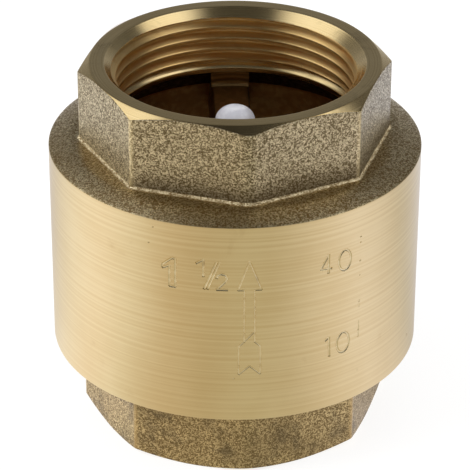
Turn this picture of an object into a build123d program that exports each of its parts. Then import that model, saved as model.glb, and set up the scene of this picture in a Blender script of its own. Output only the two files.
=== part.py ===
from build123d import *
from math import cos, pi, radians, sin, tan
import os

# Spring-loaded in-line check valve with two female pipe ends, thread size G 1 1/2.
# Millimetres. The origin is the centre of the inlet face and +Z runs with the flow.
# The eight corners of each spanner end lie on the axes and at 45 degrees to them.

# Outside of the valve
inlet_socket_length = 16.4
barrel_length = 40.7
outlet_socket_length = 16.4
barrel_edge_chamfer = 0.3

# Spanner ends: forged octagons, each with its end face turned and its corners coned off
socket_wall = 3.6
octagon_sides = 8
octagon_corner_radius = 1.2
end_face_inset = 0.1
end_cone_angle = 30.0

# Forged shoulder between the barrel and the outlet octagon
shoulder_width = 8.0
shoulder_rise = 1.3
shoulder_flat_margin = 0.33
shoulder_foot_chamfer = 0.7

# Pipe sockets, with the thread left at its inner diameter and a relief beyond it
thread_outer_diameter = 47.8
thread_height = 1.475
lead_in_margin = 0.8
thread_end_depth = 9.5
thread_relief_width = 2.2

# Cavity of the body, from the outlet throat down to the chamber round the poppet
throat_step = 0.8
throat_length = 1.0
roof_inset = 3.1
roof_drop = 4.4
chamber_wall = 5.1
chamber_draft_length = 14.0

# Spider that guides the stem, forged in one with the body
arm_count = 3
arm_angle = 90.0
arm_width = 6.6
arm_height = 7.2
arm_drop = 2.9
arm_draft_angle = 2.0
arm_foot_flare = 0.9
arm_foot_length = 2.6
arm_foot_blend = 2.0
arm_hub_blend = 1.2
hub_diameter = 14.0
hub_boss_length = 4.5

# Union between the body and the inlet connection
union_wall = 2.9
union_depth = 7.4
union_clearance = 0.04
flange_recess = 1.0
flange_chamfer = 0.6
seal_thickness = 1.5
seal_edge_clearance = 0.1

# Bore and seat of the inlet connection
inlet_throat_step = 1.4
inlet_throat_length = 1.6
converging_length = 5.0
seat_bore_step = 3.5
seat_lip_width = 1.6
seat_lip_height = 2.6
seat_lip_spread = 1.0

# Poppet with its stem
stem_diameter = 7.7
stem_clearance = 0.1
stem_proud = 6.5
stem_tip_round = 2.9
lift = 9.0
stop_clearance = 0.3
stop_collar_diameter = 12.6
stop_collar_chamfer = 0.6
plate_overhang = 0.4
plate_rim_height = 1.6
plate_rise = 2.2
spigot_clearance = 0.1

# Rubber ring of the seat, and the coned disc that clamps it under the poppet
gasket_thickness = 2.6
gasket_overlap = 1.7
gasket_width = 7.8
retainer_clearance = 0.7
retainer_rim_height = 1.2
retainer_cone_height = 3.0
retainer_tip_diameter = 8.0
snap_pin_diameter = 6.0
snap_pin_length = 7.0
snap_pin_clearance = 0.05
snap_bore_spare = 0.5

# Closing spring
wire_diameter = 1.0
working_turns = 5.0
closed_turns = 0.9
closed_pitch_gap = 0.08
ground_share = 0.3
spring_inner_clearance = 0.9
spring_seat_clearance = 0.1
wire_sides = 6
runs_per_turn = 16

# Radii and heights that follow from the sizes
thread_outer_radius = thread_outer_diameter / 2
flat_radius = thread_outer_radius + socket_wall
corner_reach = flat_radius / cos(pi / octagon_sides)
end_face_radius = flat_radius - end_face_inset
barrel_radius = flat_radius + shoulder_width
thread_inner_radius = thread_outer_radius - thread_height
lead_in_radius = thread_outer_radius + lead_in_margin
throat_radius = thread_outer_radius - throat_step
inlet_throat_radius = thread_outer_radius - inlet_throat_step
chamber_radius = barrel_radius - chamber_wall
union_radius = barrel_radius - union_wall
hub_radius = hub_diameter / 2
seat_bore_radius = inlet_throat_radius - seat_bore_step
seat_lip_radius = seat_bore_radius + seat_lip_width
stem_radius = stem_diameter / 2
gasket_radius = seat_lip_radius + gasket_overlap
gasket_bore_radius = gasket_radius - gasket_width
plate_radius = gasket_radius + plate_overhang

barrel_base = inlet_socket_length
shoulder_edge = barrel_base + barrel_length
shoulder_top = shoulder_edge + shoulder_rise
overall_length = shoulder_edge + outlet_socket_length

socket_depth = thread_end_depth + thread_relief_width
roof_top = overall_length - socket_depth - (thread_outer_radius - throat_radius) - throat_length
roof_base = roof_top - roof_drop
arm_top = roof_top - arm_drop
arm_base = arm_top - arm_height
hub_base = arm_base - hub_boss_length

seal_top = barrel_base + union_depth
flange_base = barrel_base + flange_recess
flange_top = seal_top - seal_thickness
seat_plane = flange_top + seat_lip_height

plate_base = seat_plane + gasket_thickness
plate_top = plate_base + plate_rim_height + plate_rise
stop_collar_top = hub_base - lift - stop_clearance
stem_tip = arm_top + stem_proud
spring_radius = hub_radius + spring_inner_clearance + wire_diameter / 2
spring_base = plate_top + spring_seat_clearance
spring_top = arm_base - spring_seat_clearance

overcut = 1.0


def spanner_end(length):
    """An octagon that stands on its turned end face at z = 0 and is length high."""
    cone_height = (corner_reach - end_face_radius) * tan(radians(end_cone_angle))
    with BuildPart() as end:
        with BuildSketch() as octagon:
            RegularPolygon(flat_radius, octagon_sides, major_radius=False)
            fillet(octagon.vertices(), radius=octagon_corner_radius)
        extrude(amount=length)
        with BuildSketch(Plane.XZ):
            Polygon(
                (0, 0),
                (end_face_radius, 0),
                (corner_reach, cone_height),
                (corner_reach, length),
                (0, length),
                align=None,
            )
        revolve(axis=Axis.Z, mode=Mode.INTERSECT)
    return end.part


def socket_outline(face, inward):
    """Radius and height of a socket's wall, from outside its mouth to the foot of the relief."""
    lead_in_depth = lead_in_radius - thread_inner_radius
    return [
        (0, face - inward * overcut),
        (lead_in_radius + overcut, face - inward * overcut),
        (thread_inner_radius, face + inward * lead_in_depth),
        (thread_inner_radius, face + inward * thread_end_depth),
        (thread_outer_radius, face + inward * thread_end_depth),
        (thread_outer_radius, face + inward * socket_depth),
    ]


# Forged and turned body, open to the outlet

# Plan of one arm of the spider, wider where its foot meets the wall
with BuildSketch() as arm_plan:
    with BuildLine():
        foot_half_width = arm_width / 2 + arm_foot_flare
        FilletPolyline(
            (0, -arm_width / 2),
            (throat_radius - arm_foot_length, -arm_width / 2),
            (throat_radius, -foot_half_width),
            (barrel_radius, -foot_half_width),
            (barrel_radius, foot_half_width),
            (throat_radius, foot_half_width),
            (throat_radius - arm_foot_length, arm_width / 2),
            (0, arm_width / 2),
            radius=[0, arm_foot_blend, 0, 0, 0, 0, arm_foot_blend, 0],
            close=True,
        )
    make_face()

# Everything that is empty inside the body, with the spider left standing in it
with BuildPart() as body_core:
    with BuildSketch(Plane.XZ):
        with BuildLine():
            cavity_outline = socket_outline(overall_length, -1) + [
                (throat_radius, roof_top + throat_length),
                (throat_radius, roof_top),
                (chamber_radius - roof_inset, roof_base),
                (chamber_radius, roof_base - chamber_draft_length),
                (chamber_radius, seal_top),
                (union_radius, seal_top),
                (union_radius, barrel_base - overcut),
                (0, barrel_base - overcut),
            ]
            Polyline(cavity_outline, close=True)
        make_face()
    revolve(axis=Axis.Z)
    with BuildSketch(Plane.XY.offset(arm_base)) as spider_plan:
        Circle(hub_radius)
        with PolarLocations(0, arm_count, start_angle=arm_angle):
            add(arm_plan.sketch)
        arm_roots = spider_plan.vertices().filter_by(
            lambda corner: Vector(corner.X, corner.Y).length < hub_radius + arm_hub_blend
        )
        fillet(arm_roots, radius=arm_hub_blend)
    extrude(amount=roof_top - arm_base, taper=-arm_draft_angle, mode=Mode.SUBTRACT)
    with BuildSketch(Plane.XY.offset(hub_base)):
        Circle(hub_radius)
    extrude(amount=hub_boss_length, mode=Mode.SUBTRACT)

    # The boring tool faces the arms off, and the stem's guide runs through the hub
    with BuildSketch(Plane.XY.offset(arm_top)):
        Circle(throat_radius)
    extrude(amount=roof_top - arm_top + throat_length)
    with BuildSketch(Plane.XY.offset(hub_base)):
        Circle(stem_radius + stem_clearance)
    extrude(amount=arm_top - hub_base)

outlet_end = spanner_end(outlet_socket_length)

with BuildPart() as body:
    mirror(outlet_end, about=Plane.XY.offset(overall_length / 2))

    # Turned barrel under the forged shoulder, which falls away towards its edge
    with BuildSketch(Plane.XZ):
        with BuildLine():
            shoulder_flat_radius = corner_reach + shoulder_foot_chamfer + shoulder_flat_margin
            barrel = Polyline(
                (shoulder_flat_radius, shoulder_top),
                (0, shoulder_top),
                (0, barrel_base),
                (barrel_radius - barrel_edge_chamfer, barrel_base),
                (barrel_radius, barrel_base + barrel_edge_chamfer),
                (barrel_radius, shoulder_edge),
            )
            TangentArc(barrel @ 0, barrel @ 1, tangent=(1, 0))
        make_face()
    revolve(axis=Axis.Z)
    shoulder_lines = body.edges().filter_by_position(
        Axis.Z, shoulder_top - 0.01, shoulder_top + 0.01
    )
    octagon_foot = shoulder_lines.filter_by(lambda edge: edge.length < flat_radius)
    chamfer(octagon_foot, length=shoulder_foot_chamfer)
    add(body_core.part, mode=Mode.SUBTRACT)

body.part.label = "body"


# Inlet connection, which closes the body and carries the seat

inlet_end = spanner_end(flange_base + seal_thickness)

with BuildPart() as inlet_connection:
    add(inlet_end)

    # Flange that fills the union, and the raised lip of the seat
    with BuildSketch(Plane.XZ):
        flange_radius = union_radius - union_clearance
        Polygon(
            (0, flange_base),
            (flange_radius - flange_chamfer, flange_base),
            (flange_radius, flange_base + flange_chamfer),
            (flange_radius, flange_top),
            (seat_lip_radius + seat_lip_spread, flange_top),
            (seat_lip_radius, seat_plane),
            (0, seat_plane),
            align=None,
        )
    revolve(axis=Axis.Z)

    # Socket, throat and the converging bore that leads to the seat
    with BuildSketch(Plane.XZ):
        with BuildLine():
            throat_base = socket_depth + thread_outer_radius - inlet_throat_radius
            throat_end = throat_base + inlet_throat_length
            bore_outline = socket_outline(0, 1) + [
                (inlet_throat_radius, throat_base),
                (inlet_throat_radius, throat_end),
                (seat_bore_radius, throat_end + converging_length),
                (seat_bore_radius, seat_plane + overcut),
                (0, seat_plane + overcut),
            ]
            Polyline(bore_outline, close=True)
        make_face()
    revolve(axis=Axis.Z, mode=Mode.SUBTRACT)

inlet_connection.part.label = "inlet_connection"


# Flat seal that the flange presses against the body

with BuildPart() as union_seal:
    with BuildSketch(Plane.XY.offset(flange_top)):
        Circle(union_radius - seal_edge_clearance)
        Circle(chamber_radius + seal_edge_clearance, mode=Mode.SUBTRACT)
    extrude(amount=seal_thickness)

union_seal.part.label = "union_seal"


# Moulded poppet: spigot, plate, stop collar and stem with a domed tip

with BuildPart() as poppet:
    spigot_radius = gasket_bore_radius - spigot_clearance
    stop_collar_radius = stop_collar_diameter / 2
    spring_seat_radius = spring_radius + wire_diameter
    with BuildSketch(Plane.XZ):
        Polygon(
            (0, seat_plane),
            (spigot_radius, seat_plane),
            (spigot_radius, plate_base),
            (plate_radius, plate_base),
            (plate_radius, plate_base + plate_rim_height),
            (spring_seat_radius, plate_top),
            (stop_collar_radius, plate_top),
            (stop_collar_radius, stop_collar_top),
            (stem_radius, stop_collar_top),
            (stem_radius, stem_tip),
            (0, stem_tip),
            align=None,
        )
    revolve(axis=Axis.Z)
    rims = poppet.edges().filter_by(GeomType.CIRCLE)
    fillet(rims.group_by(Axis.Z)[-1], radius=stem_tip_round)
    collar_rim = rims.filter_by_position(Axis.Z, stop_collar_top - 0.01, stop_collar_top + 0.01)
    chamfer(collar_rim.sort_by(SortBy.RADIUS)[-1], length=stop_collar_chamfer)
    snap_bore_depth = snap_pin_length + snap_bore_spare
    with Locations((0, 0, seat_plane)):
        Cylinder(
            snap_pin_diameter / 2 + snap_pin_clearance,
            snap_bore_depth,
            align=(Align.CENTER, Align.CENTER, Align.MIN),
            mode=Mode.SUBTRACT,
        )

poppet.part.label = "poppet"


# Rubber ring that closes on the seat

with BuildPart() as seat_gasket:
    with BuildSketch(Plane.XY.offset(seat_plane)):
        Circle(gasket_radius)
        Circle(gasket_bore_radius, mode=Mode.SUBTRACT)
    extrude(amount=gasket_thickness)

seat_gasket.part.label = "seat_gasket"


# Coned disc that clamps the ring from below, with a pin that snaps into the poppet

with BuildPart() as gasket_retainer:
    retainer_radius = seat_bore_radius - retainer_clearance
    retainer_rim = seat_plane - retainer_rim_height
    with BuildSketch(Plane.XZ):
        Polygon(
            (0, retainer_rim - retainer_cone_height),
            (retainer_tip_diameter / 2, retainer_rim - retainer_cone_height),
            (retainer_radius, retainer_rim),
            (retainer_radius, seat_plane),
            (0, seat_plane),
            align=None,
        )
    revolve(axis=Axis.Z)
    with BuildSketch(Plane.XY.offset(seat_plane)):
        Circle(snap_pin_diameter / 2)
    extrude(amount=snap_pin_length)

gasket_retainer.part.label = "gasket_retainer"


# Compression spring with closed and ground ends, between the poppet and the spider.
# Its wire is drawn light, in short runs of a six-sided section.


def spring_height(turn):
    """Height of the wire's centre after a number of turns from the lower end."""
    closed_pitch = wire_diameter * (1 + closed_pitch_gap)
    wire_offset = wire_diameter * (0.5 - ground_share)
    free_height = spring_top - spring_base - 2 * wire_offset - 2 * closed_turns * closed_pitch
    turns_above = turn - closed_turns
    worked = min(max(turns_above, 0), working_turns)
    closed = turn - worked
    return spring_base + wire_offset + closed * closed_pitch + worked * free_height / working_turns


with BuildPart() as spring:
    total_turns = working_turns + 2 * closed_turns
    with BuildLine() as wire:
        runs = round(total_turns * runs_per_turn)
        path_points = []
        for step in range(runs + 1):
            turn = total_turns * step / runs
            angle = 2 * pi * turn
            path_points.append(
                (spring_radius * cos(angle), spring_radius * sin(angle), spring_height(turn))
            )
        Polyline(path_points)
    with BuildSketch(Plane(origin=wire.line @ 0, z_dir=wire.line % 0)):
        RegularPolygon(wire_diameter / 2, wire_sides)
    sweep(path=wire.line, transition=Transition.RIGHT)
    split(bisect_by=Plane.XY.offset(spring_base), keep=Keep.TOP)
    split(bisect_by=Plane.XY.offset(spring_top), keep=Keep.BOTTOM)

spring.part.label = "spring"


os.makedirs("parts", exist_ok=True)
export_step(body.part, "parts/body.step")
export_step(inlet_connection.part, "parts/inlet_connection.step")
export_step(union_seal.part, "parts/union_seal.step")
export_step(poppet.part, "parts/poppet.step")
export_step(seat_gasket.part, "parts/seat_gasket.step")
export_step(gasket_retainer.part, "parts/gasket_retainer.step")
export_step(spring.part, "parts/spring.step")
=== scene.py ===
import math

import bpy
from mathutils import Matrix, Vector


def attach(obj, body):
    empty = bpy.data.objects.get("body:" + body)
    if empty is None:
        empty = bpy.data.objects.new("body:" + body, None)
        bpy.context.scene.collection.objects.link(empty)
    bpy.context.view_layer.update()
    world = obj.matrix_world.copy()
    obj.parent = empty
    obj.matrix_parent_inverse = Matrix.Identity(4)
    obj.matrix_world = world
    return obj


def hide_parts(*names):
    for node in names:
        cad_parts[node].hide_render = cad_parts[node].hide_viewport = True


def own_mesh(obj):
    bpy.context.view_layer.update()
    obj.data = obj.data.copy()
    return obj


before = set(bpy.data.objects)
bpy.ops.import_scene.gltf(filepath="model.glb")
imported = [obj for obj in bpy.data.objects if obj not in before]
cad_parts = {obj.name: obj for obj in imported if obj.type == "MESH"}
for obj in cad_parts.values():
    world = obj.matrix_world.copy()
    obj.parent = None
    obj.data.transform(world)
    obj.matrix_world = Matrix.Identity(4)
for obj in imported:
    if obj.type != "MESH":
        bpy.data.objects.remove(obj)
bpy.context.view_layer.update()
mm = 0.001
print("frame loaded:", ", ".join(sorted(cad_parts)))


# Helpers for node trees and meshes

def connect(tree, node, inputs):  # links a node's sockets, or sets them to plain values
    for socket, source in inputs.items():
        if isinstance(source, bpy.types.NodeSocket):
            tree.links.new(source, node.inputs[socket])
        else:
            node.inputs[socket].default_value = source


def place(tree, kind, inputs=None, **settings):
    node = tree.nodes.new(kind)
    for key, value in settings.items():
        setattr(node, key, value)
    connect(tree, node, inputs or {})
    return node


def calc(tree, operation, *values, clamp=False):
    node = place(tree, "ShaderNodeMath", dict(enumerate(values)), operation=operation, use_clamp=clamp)
    return node.outputs[0]


def plus(tree, first, second, clamp=False):
    return calc(tree, "ADD", first, second, clamp=clamp)


def minus(tree, first, second):
    return calc(tree, "SUBTRACT", first, second)


def times(tree, first, second):
    return calc(tree, "MULTIPLY", first, second)


def over(tree, first, second):
    return calc(tree, "DIVIDE", first, second)


def spread(tree, value, low, high, outLow=0.0, outHigh=1.0):
    ranged = place(tree, "ShaderNodeMapRange", {0: value, 1: low, 2: high, 3: outLow, 4: outHigh},
                   interpolation_type="SMOOTHSTEP")
    return ranged.outputs[0]


def noise(tree, inputs, dimensions="3D"):
    return place(tree, "ShaderNodeTexNoise", inputs, noise_dimensions=dimensions).outputs[0]


def blendColour(tree, factor, first, second):
    return place(tree, "ShaderNodeMix", {0: factor, 6: first, 7: second}, data_type="RGBA").outputs[2]


def axesOf(tree, where):
    return place(tree, "ShaderNodeSeparateXYZ", {0: where}).outputs


def aroundAxis(tree, x, y):  # distance from the valve's axis, and the share of a turn round it
    radius = calc(tree, "SQRT", plus(tree, times(tree, x, x), times(tree, y, y)))
    return radius, over(tree, calc(tree, "ARCTAN2", y, x), 2 * math.pi)


def newGroup(name, kind, inputs, outputs):
    tree = bpy.data.node_groups.new(name, kind)
    for label, socketType, default in inputs:
        socket = tree.interface.new_socket(name=label, in_out="INPUT", socket_type=socketType)
        if default is not None:
            socket.default_value = default
    for label, socketType in outputs:
        tree.interface.new_socket(name=label, in_out="OUTPUT", socket_type=socketType)
    return tree, tree.nodes.new("NodeGroupInput").outputs, tree.nodes.new("NodeGroupOutput")


def newObject(name, verts, faces):
    mesh = bpy.data.meshes.new(name)
    mesh.from_pydata(verts, [], faces)
    mesh.update()
    piece = bpy.data.objects.new(name, mesh)
    bpy.context.scene.collection.objects.link(piece)
    return piece


def tubeMesh(name, verts, sides):  # a skin over rings of points, closed at both ends
    faces = []
    for ring in range(0, len(verts) - sides, sides):
        for k in range(sides):
            a, b = ring + k, ring + (k + 1) % sides
            faces.append((a, a + sides, b + sides, b))
    faces.append(tuple(range(sides)))
    faces.append(tuple(reversed(range(len(verts) - sides, len(verts)))))
    return newObject(name, verts, faces)


def bakeModifiers(piece):
    bpy.context.view_layer.update()
    baked = bpy.data.meshes.new_from_object(piece.evaluated_get(bpy.context.evaluated_depsgraph_get()))
    piece.modifiers.clear()
    piece.data = baked
    return piece


def rgb(*colour):  # a colour as a screen shows it, red, green and blue from 0 to 255
    linear = [c / 255 / 12.92 if c <= 10.3 else ((c / 255 + 0.055) / 1.055) ** 2.4 for c in colour]
    return (*linear, 1.0)


# Shader groups that the finishes share

floatIn, vectorIn = "NodeSocketFloat", "NodeSocketVector"


lathe = {"coneShare": 1.3, "ridge": 0.25, "uneven": 0.9, "patchScale": 90.0, "chatterScale": 230.0,
         "streakShare": 0.6}


def makeToolLines():  # lines that the turning tool leaves, wound round the axis
    tree, given, out = newGroup("toolLines", "ShaderNodeTree", [
        ("Vector", vectorIn, None), ("Feed", floatIn, 0.0004), ("Waver", floatIn, 0.4),
        ("Chatter", floatIn, 0.3)],
        [("Height", floatIn), ("Streak", floatIn)])
    x, y, z = axesOf(tree, given["Vector"])
    radius, turn = aroundAxis(tree, x, y)
    feeds = over(tree, plus(tree, z, times(tree, radius, lathe["coneShare"])), given["Feed"])
    ridge = calc(tree, "SINE", times(tree, plus(tree, feeds, turn), 2 * math.pi))
    uneven = noise(tree, {"W": feeds, "Scale": 0.9, "Detail": 1.5, "Roughness": 0.5}, "1D")
    patch = noise(tree, {"Vector": given["Vector"], "Scale": lathe["patchScale"], "Detail": 3.0})
    chatter = noise(tree, {"W": turn, "Scale": lathe["chatterScale"], "Detail": 2.0}, "1D")
    ridges = times(tree, times(tree, ridge, lathe["ridge"]), patch)
    lines = plus(tree, ridges, times(tree, uneven, lathe["uneven"]))
    beat = times(tree, minus(tree, chatter, 0.5), given["Chatter"])
    drift = times(tree, minus(tree, patch, 0.5), given["Waver"])
    streak = plus(tree, times(tree, uneven, lathe["streakShare"]), times(tree, patch, 1 - lathe["streakShare"]))
    connect(tree, out, {"Height": plus(tree, lines, plus(tree, beat, drift)), "Streak": streak})
    return tree


shot = {"fineScale": 1.5, "fineHeight": 0.75, "pitHeight": 0.5, "pitTone": 0.75, "fineTone": 0.5,
        "speckRange": (0.38, 1.02), "patchScale": 110.0, "patchRange": (0.3, 0.7)}


def makeShotSkin():  # pits and specks that the shot leaves on a forging
    tree, given, out = newGroup("shotSkin", "ShaderNodeTree", [
        ("Vector", vectorIn, None), ("Grain", floatIn, 0.0003)],
        [("Height", floatIn), ("Speck", floatIn), ("Patch", floatIn)])
    scale = over(tree, 1.0, given["Grain"])
    fine = noise(tree, {"Vector": given["Vector"], "Scale": times(tree, scale, shot["fineScale"]),
                        "Detail": 2.0, "Roughness": 0.6})
    pits = place(tree, "ShaderNodeTexVoronoi", {"Vector": given["Vector"], "Scale": scale}).outputs
    height = plus(tree, times(tree, fine, shot["fineHeight"]), times(tree, pits["Distance"], shot["pitHeight"]))
    pitTone = place(tree, "ShaderNodeSeparateColor", {0: pits["Color"]}).outputs[0]
    speck = plus(tree, times(tree, pitTone, shot["pitTone"]), times(tree, fine, shot["fineTone"]))
    patch = noise(tree, {"Vector": given["Vector"], "Scale": shot["patchScale"], "Detail": 4.0,
                         "Roughness": 0.6})
    connect(tree, out, {"Height": height, "Speck": spread(tree, speck, *shot["speckRange"]),
                     "Patch": spread(tree, patch, *shot["patchRange"])})
    return tree


def makeHandling():  # stains in soft clouds
    tree, given, out = newGroup("handling", "ShaderNodeTree", [
        ("Vector", vectorIn, None), ("Stain Size", floatIn, 0.012), ("Stain Share", floatIn, 0.3)],
        [("Stain", floatIn)])
    cloud = noise(tree, {"Vector": given["Vector"], "Scale": over(tree, 1.0, given["Stain Size"]),
                         "Detail": 5.0, "Roughness": 0.65, "Distortion": 0.4})
    edge = minus(tree, 0.72, times(tree, given["Stain Share"], 0.5))
    stain = place(tree, "ShaderNodeMapRange", {0: cloud, 1: edge, 2: plus(tree, edge, 0.16)}).outputs[0]
    connect(tree, out, {"Stain": stain})
    return tree


# Sizes of the lighter corner line: partly wear, partly a painted highlight.
wearAndHighlightLine = {"cornerRadius": 0.0297, "raggedScale": 3000.0, "ragged": 0.0012, "flashHalfWidth": 0.005}


def makeCornerWearAndPaintedHighlight():  # a ragged lighter line down each upright corner of the spanner ends, off the flash line: partly wear, partly a painted highlight
    tree, given, out = newGroup("cornerWearAndPaintedHighlight", "ShaderNodeTree", [
        ("Vector", vectorIn, None), ("Corners", floatIn, 8.0), ("Half Width", floatIn, 0.0008),
        ("Reach", floatIn, 0.0302)],
        [("Edge", floatIn)])
    x, y, z = axesOf(tree, given["Vector"])
    radius, turn = aroundAxis(tree, x, y)
    side = calc(tree, "FRACT", plus(tree, times(tree, turn, given["Corners"]), 0.5))
    side = over(tree, calc(tree, "ABSOLUTE", minus(tree, side, 0.5)), given["Corners"])
    away = times(tree, side, wearAndHighlightLine["cornerRadius"] * 2 * math.pi)
    ragged = noise(tree, {"Vector": given["Vector"], "Scale": wearAndHighlightLine["raggedScale"], "Detail": 1.0})
    bitten = plus(tree, away, times(tree, minus(tree, ragged, 0.5), wearAndHighlightLine["ragged"]))
    line = place(tree, "ShaderNodeMapRange", {0: bitten, 1: given["Half Width"], 2: 0.0, 3: 0.0, 4: 1.0})
    offFlash = calc(tree, "GREATER_THAN", calc(tree, "ABSOLUTE", x), wearAndHighlightLine["flashHalfWidth"])
    inside = times(tree, calc(tree, "LESS_THAN", radius, given["Reach"]), offFlash)
    connect(tree, out, {"Edge": times(tree, line.outputs[0], inside)})
    return tree


toolLines, shotSkin = makeToolLines(), makeShotSkin()
handling, cornerWearAndPaintedHighlight = makeHandling(), makeCornerWearAndPaintedHighlight()


# Materials, one for each finish on the valve

def newMaterial(name, **constants):
    material = bpy.data.materials.new(name)
    material.use_nodes = True
    tree = material.node_tree
    shader = tree.nodes["Principled BSDF"]
    for key, value in constants.items():
        shader.inputs[key.replace("_", " ")].default_value = value
    where = place(tree, "ShaderNodeTexCoord").outputs["Object"]
    return material, tree, shader, where


def bump(tree, height, strength, distance):
    raised = {"Strength": strength, "Distance": distance, "Height": height}
    return place(tree, "ShaderNodeBump", raised).outputs[0]


def stainOn(tree, where, look):
    return place(tree, "ShaderNodeGroup", {"Vector": where, "Stain Size": look["stainSize"],
                 "Stain Share": look["stainShare"]}, node_tree=handling).outputs["Stain"]


def machinedBrass(name, look):
    material, tree, shader, where = newMaterial(name, Metallic=1.0, Anisotropic=look.get("anisotropic", 0.0),
                                                Anisotropic_Rotation=look.get("across", 0.0))
    lines = place(tree, "ShaderNodeGroup", {"Vector": where, "Feed": look["feed"], "Waver": look["waver"],
                                            "Chatter": look["chatter"]}, node_tree=toolLines).outputs
    stain = stainOn(tree, where, look)
    streaked = blendColour(tree, spread(tree, lines["Streak"], 0.35, 0.65), look["dark"], look["light"])
    rough = spread(tree, lines["Streak"], 0.3, 0.7, *look["rough"])
    connect(tree, shader, {
        "Base Color": blendColour(tree, times(tree, stain, look["stainDepth"]), streaked, look["stain"]),
        "Roughness": plus(tree, rough, times(tree, stain, 0.08)),
        "Normal": bump(tree, lines["Height"], look["bump"], look["bumpDepth"])})
    if look.get("anisotropic"):
        tangent = place(tree, "ShaderNodeTangent", direction_type="RADIAL", axis="Z").outputs[0]
        connect(tree, shader, {"Tangent": tangent})
    return material


# Painted shade by the foot of the flats: how far up it reaches, how dark it gets, and where it ends towards the
# left.
paintedFootShade = {"rise": 0.0055, "depth": 0.6, "leftEdge": (-0.022, -0.018)}


def blastedBrass(name, look):
    material, tree, shader, where = newMaterial(name, Metallic=look.get("metallic", 1.0))
    skin = place(tree, "ShaderNodeGroup", {"Vector": where, "Grain": look["grain"]}, node_tree=shotSkin).outputs
    stain = stainOn(tree, where, look)
    colour = blendColour(tree, skin["Speck"], look["dark"], look["light"])
    colour = blendColour(tree, times(tree, skin["Patch"], look["patchDepth"]), colour, look["patch"])
    colour = blendColour(tree, times(tree, stain, look["stainDepth"]), colour, look["stain"])
    rough = spread(tree, skin["Speck"], 0.0, 1.0, *reversed(look["rough"]))
    if "paintedFootShade" in look:  # painted shade: darker towards the foot of the flats, where the shoulder shades them, on the front and the right
        x, y, z = axesOf(tree, where)
        low = spread(tree, z, look["paintedShadeFoot"], look["paintedShadeFoot"] + paintedFootShade["rise"], paintedFootShade["depth"], 0.0)
        footShadeMask = times(tree, low, spread(tree, x, *paintedFootShade["leftEdge"]))
        colour = blendColour(tree, footShadeMask, colour, look["paintedFootShade"])
    # Upright corners made lighter and smoother: partly wear, partly a painted highlight.
    if "wearAndPaintedHighlight" in look:
        edge = place(tree, "ShaderNodeGroup", {"Vector": where}, node_tree=cornerWearAndPaintedHighlight).outputs["Edge"]
        colour = blendColour(tree, times(tree, edge, 0.4), colour, look["wearAndPaintedHighlight"])
        rough = minus(tree, rough, times(tree, edge, 0.12))
    connect(tree, shader, {"Base Color": colour, "Roughness": rough,
                        "Normal": bump(tree, skin["Height"], look["bump"], look["bumpDepth"])})
    return material


barrelFinish = machinedBrass("turnedBarrelBrass", {
    "dark": rgb(231, 207, 157), "light": rgb(242, 221, 174), "feed": 0.00056, "waver": 0.3, "chatter": 0.08,
    "rough": (0.28, 0.33), "bump": 0.12, "bumpDepth": 0.00002, "anisotropic": 0.4,
    "stain": rgb(176, 138, 84), "stainSize": 0.014, "stainShare": 0.12, "stainDepth": 0.35})
socketFinish = machinedBrass("turnedSocketBrass", {
    "dark": rgb(222, 196, 142), "light": rgb(236, 212, 160), "feed": 0.00030, "waver": 0.4, "chatter": 0.1,
    "rough": (0.17, 0.22), "bump": 0.16, "bumpDepth": 0.00002,
    "stain": rgb(150, 132, 92), "stainSize": 0.009, "stainShare": 0.3, "stainDepth": 0.35})
threadFinish = machinedBrass("threadCutBrass", {
    "dark": rgb(250, 206, 134), "light": rgb(255, 224, 158), "feed": 0.00022, "waver": 0.8, "chatter": 0.5,
    "rough": (0.30, 0.40), "bump": 0.2, "bumpDepth": 0.00002, "anisotropic": 0.8, "across": 0.25,
    "stain": rgb(200, 150, 84), "stainSize": 0.006, "stainShare": 0.3, "stainDepth": 0.3})
# The corner colour of each forging lightens its upright corners: partly wear, partly a painted highlight.
forgedFinish = blastedBrass("blastedForgingBrass", {
    "dark": rgb(106, 90, 60), "light": rgb(222, 206, 168), "grain": 0.00022, "rough": (0.30, 0.46),
    "metallic": 0.75, "patch": rgb(146, 124, 84), "patchDepth": 0.12, "stain": rgb(112, 88, 50),
    "stainSize": 0.011, "stainShare": 0.25, "stainDepth": 0.3, "bump": 0.6, "bumpDepth": 0.00004,
    # the last two entries are the colour and the height of the painted shade at the foot of the flats
    "wearAndPaintedHighlight": rgb(236, 214, 160), "paintedFootShade": rgb(74, 56, 30), "paintedShadeFoot": 0.0582})
inletForgedFinish = blastedBrass("inletForgingBrass", {
    "dark": rgb(126, 104, 64), "light": rgb(228, 202, 148), "grain": 0.00021, "rough": (0.34, 0.50),
    "metallic": 0.7, "patch": rgb(122, 102, 66), "patchDepth": 0.4, "stain": rgb(86, 74, 54),
    "stainSize": 0.007, "stainShare": 0.45, "stainDepth": 0.6, "bump": 0.7, "bumpDepth": 0.00004,
    "wearAndPaintedHighlight": rgb(222, 186, 124)})
shoulderFinish = blastedBrass("blastedShoulderBrass", {
    "dark": rgb(160, 130, 84), "light": rgb(255, 240, 198), "grain": 0.00022, "rough": (0.28, 0.44),
    "patch": rgb(180, 150, 98), "patchDepth": 0.2, "stain": rgb(160, 126, 72), "stainSize": 0.011,
    "stainShare": 0.25, "stainDepth": 0.3, "bump": 0.8, "bumpDepth": 0.00004})
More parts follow.
